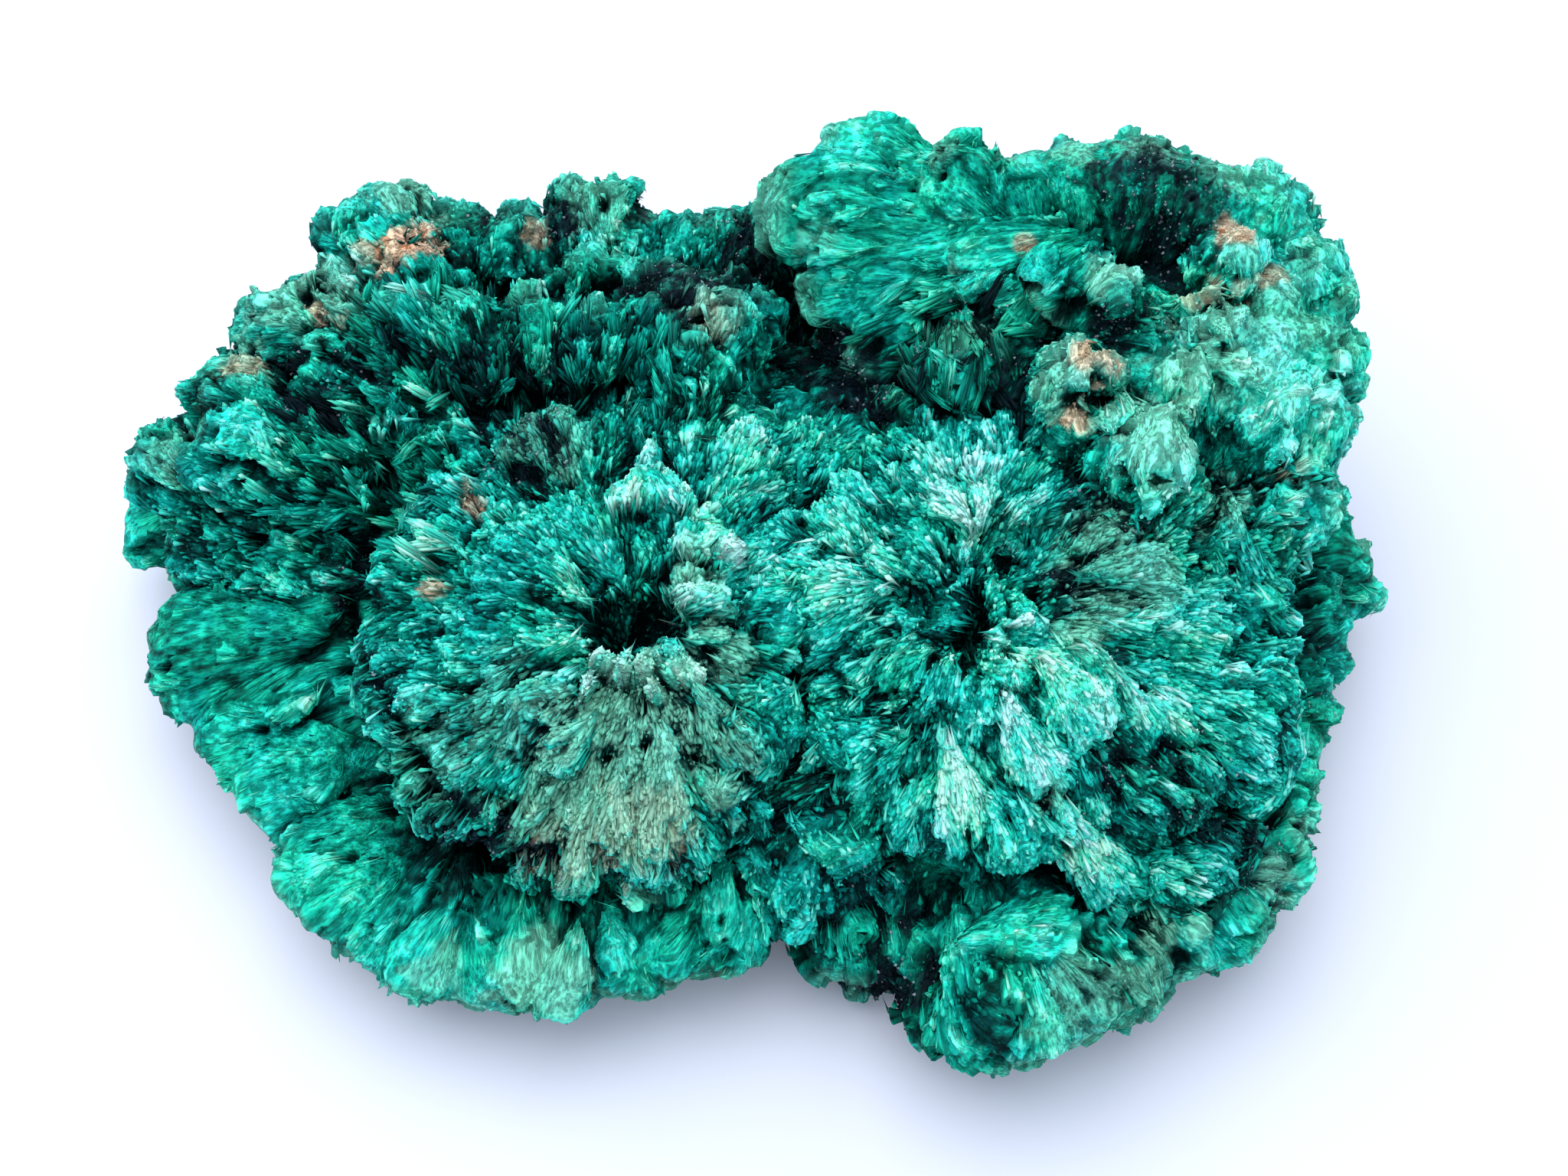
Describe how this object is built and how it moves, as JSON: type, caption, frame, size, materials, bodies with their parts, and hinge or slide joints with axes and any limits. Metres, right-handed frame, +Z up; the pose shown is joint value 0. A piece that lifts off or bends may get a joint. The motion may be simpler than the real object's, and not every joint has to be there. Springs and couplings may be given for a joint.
{
  "type": "velvet malachite mineral specimen",
  "caption": "Hand-size mineral specimen of velvety green malachite: fibrous sheaves in flower-like rosettes round deep pits, on a massive flat-broken foot.",
  "frame": {"origin": "on the flat break underneath, at the middle of the bounding box's bottom face", "axes": "+X along the specimen's length, from the left rosette to the right one; +Z up out of the rosettes; -Y towards the picture's viewer"},
  "size_m": [0.091, 0.0664, 0.029],
  "materials": {
    "malachite": "velvety fibrous mineral, silky sheen"
  },
  "bodies": {
    "root": {"malachite": "malachite"}
  },
  "joints": []
}
